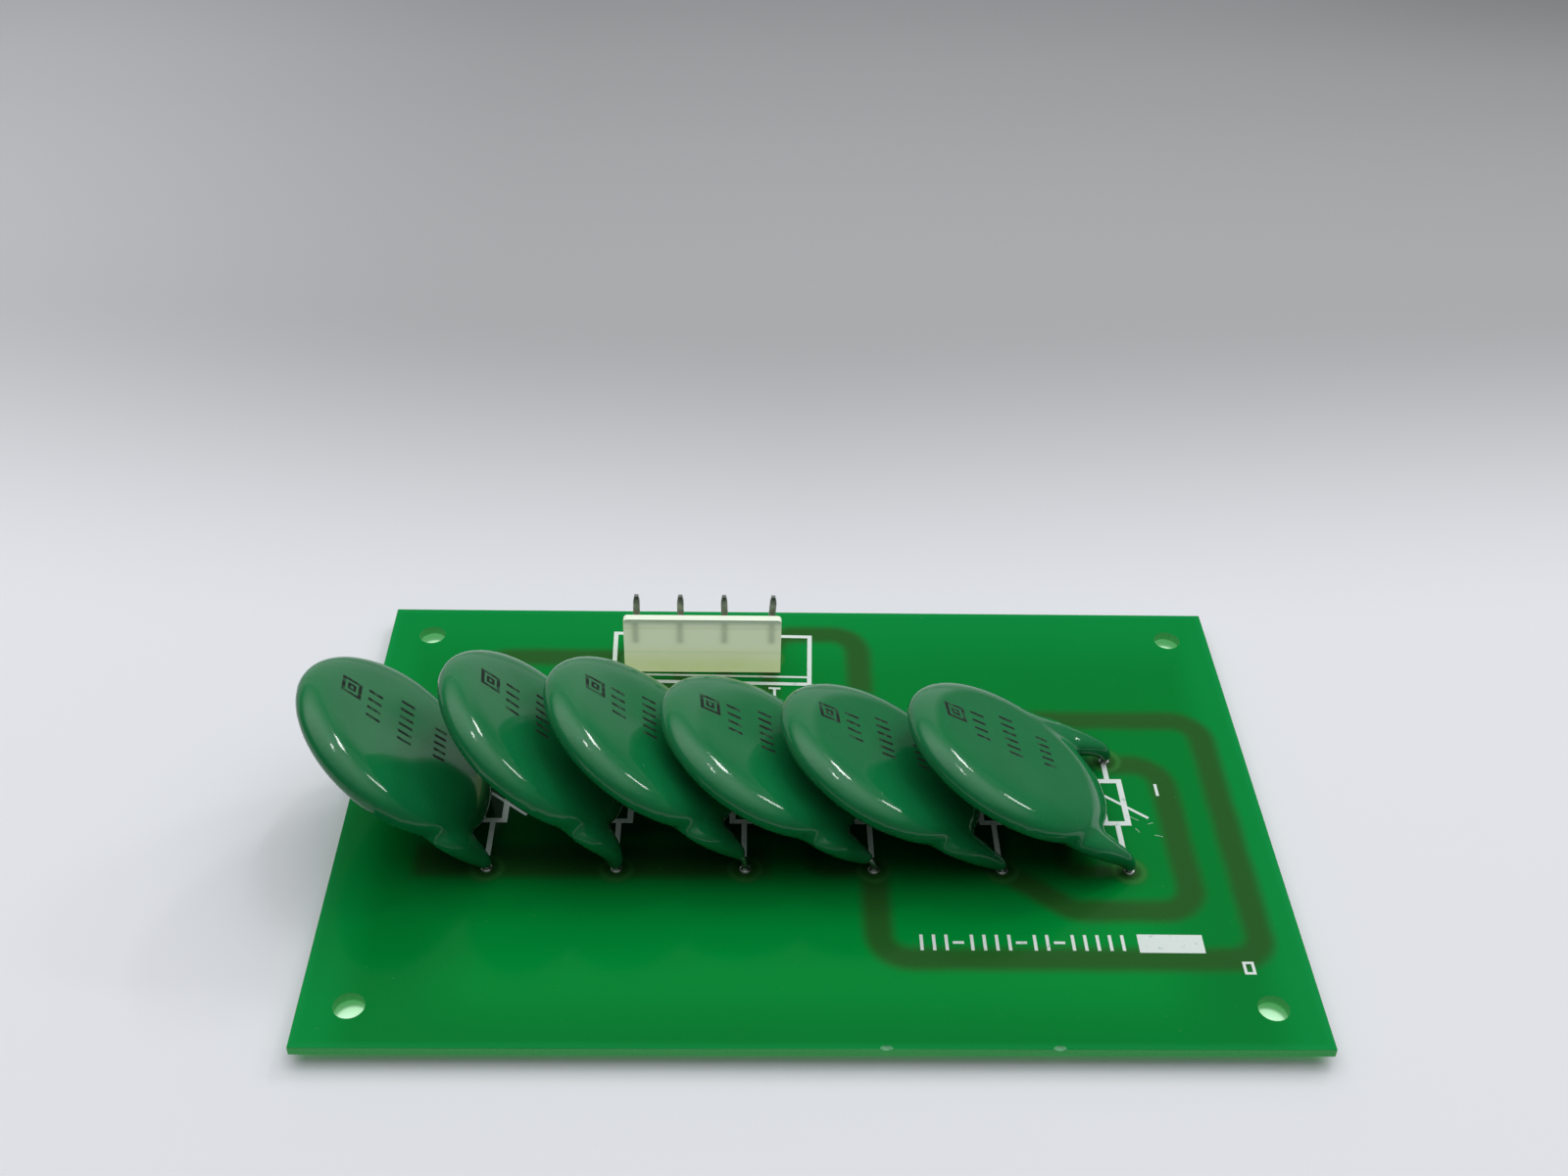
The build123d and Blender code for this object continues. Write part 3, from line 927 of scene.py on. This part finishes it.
# %% Metal finishes
def metal_look(bright, dull, grain, roughness):
    """A metal whose colour wanders from bright to dull over lumps of size grain, in millimetres."""

    def look(tree, place):
        share = noise_value(tree, place, grain * MM, 3.0).ramp(0.35, 0.65)
        return {
            "Base Color": mix_colour(tree, share * 0.5, bright, dull),
            "Roughness": share * 0.15 + roughness,
            "Normal": bumps(tree, place, grain * 0.3 * MM, 0.15, 0.05 * MM),
        }

    return look


wire_look = metal_look((0.62, 0.64, 0.62), (0.30, 0.31, 0.30), 1.6, 0.26)
solder_look = metal_look((0.36, 0.40, 0.36), (0.16, 0.19, 0.16), 0.8, 0.25)
pin_look = metal_look((0.20, 0.22, 0.20), (0.09, 0.10, 0.09), 1.2, 0.24)
tinned = finish("tinned_wire", wire_look, Metallic=1.0)
solder = finish("solder", solder_look, Metallic=1.0)
pin_metal = finish("tinned_pin", pin_look, Metallic=1.0)

# %% Lacquered copper
FOIL_DEEP, FOIL_PALE = (0.012, 0.13, 0.03), (0.03, 0.17, 0.045)


def lacquered_copper(tree, place):
    """Foil under lacquer: green, glossy and slightly rippled."""
    shade = noise_value(tree, place, 5 * MM)
    return {
        "Base Color": mix_colour(tree, shade, FOIL_DEEP, FOIL_PALE),
        "Roughness": shade * 0.15 + 0.25,
        "Normal": bumps(tree, place, MM, 0.1, 0.05 * MM),
    }


copper_finish = finish("lacquered_copper", lacquered_copper, IOR=1.45)

# %% [markdown]
# ## Nylon
# The header is milky nylon. Light enters it, spreads and comes out again, so it glows. Subsurface
# light could do that, but it is slow and is lost on export. So its light and shade are painted: it
# is painted brighter near the top edge, yellower and darker towards the board, with painted shadows
# as dark soft bands where the pins stand behind the wall, and faint lines along its steps. A weak
# light of its own stands for the glow.

# %% Nylon finish
NYLON, NYLON_LOW, NYLON_TOP_LIGHT = (0.72, 0.78, 0.58), (0.58, 0.66, 0.32), (0.86, 0.93, 0.78)
PIN_SHADOW_BAND, STEP_LINE, NYLON_CLOUD = (0.24, 0.29, 0.20), (0.42, 0.46, 0.30), (0.80, 0.84, 0.68)
TOP_GLOW = (0.15, 0.17, 0.13)
PIN_BOXES = [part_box(name) for name in nodes if name.startswith("header_pin_")]
PINS = sorted((low.x + high.x) / 2 / MM for low, high in PIN_BOXES)
BAND_WIDTH = 0.75
# Height over the board and strength of each line along the wall
STEP_LINES = ((4.9, 0.25), (10.3, 0.3))


def pin_shadow_bands(x, height):
    """Painted shadow: 1 in front of each pin, over the part of the wall behind which it stands."""
    band = 0.0
    for pin_x in PINS:
        off = (x - pin_x) / BAND_WIDTH
        band = (off * off * -1).math("EXPONENT") + band
    return band * (height.ramp(6.2, 7.6) * height.ramp(12.0, 11.0))


def nylon_look(tree, place):
    """Milky nylon with painted light and shade, by its height over the board in millimetres."""
    x, _, z = axes_of(tree, place)
    height = z - TOP / MM
    top = height.ramp(10.2, 12.4)
    body = mix_colour(tree, height.ramp(7.5, 1.0), NYLON, NYLON_LOW)
    # Painted light towards the top edge
    body = mix_colour(tree, top * 0.8, body, NYLON_TOP_LIGHT)
    # Painted shadows of the pins behind the wall
    body = mix_colour(tree, pin_shadow_bands(x, height) * 0.55, body, PIN_SHADOW_BAND)
    for level, strength in STEP_LINES:
        line = abs(height - level).ramp(0.35, 0.1)
        body = mix_colour(tree, line * strength, body, STEP_LINE)
    cloud = noise_value(tree, place, 5 * MM).ramp(0.3, 0.7)
    body = mix_colour(tree, cloud * 0.12, body, NYLON_CLOUD)
    return {
        "Base Color": body,
        "Emission Color": mix_colour(tree, top, body, TOP_GLOW),
        "Roughness": 0.38,
        "Normal": bumps(tree, place, 0.9 * MM, 0.1),
    }


nylon = finish("milky_nylon", nylon_look, IOR=1.53, Emission_Strength=0.44)

# %% Finishes of the carried-over nodes
FINISHES = {
    "lead_": tinned, "solder_": solder, "header_pin_": pin_metal, "copper_": copper_finish,
    "header_housing": nylon,
}
finished = 0
for name, piece in nodes.items():
    for start, material in FINISHES.items():
        if name.startswith(start):
            piece.data.materials.clear()
            piece.data.materials.append(material)
            finished += 1
print("finished:", finished, "carried-over nodes")
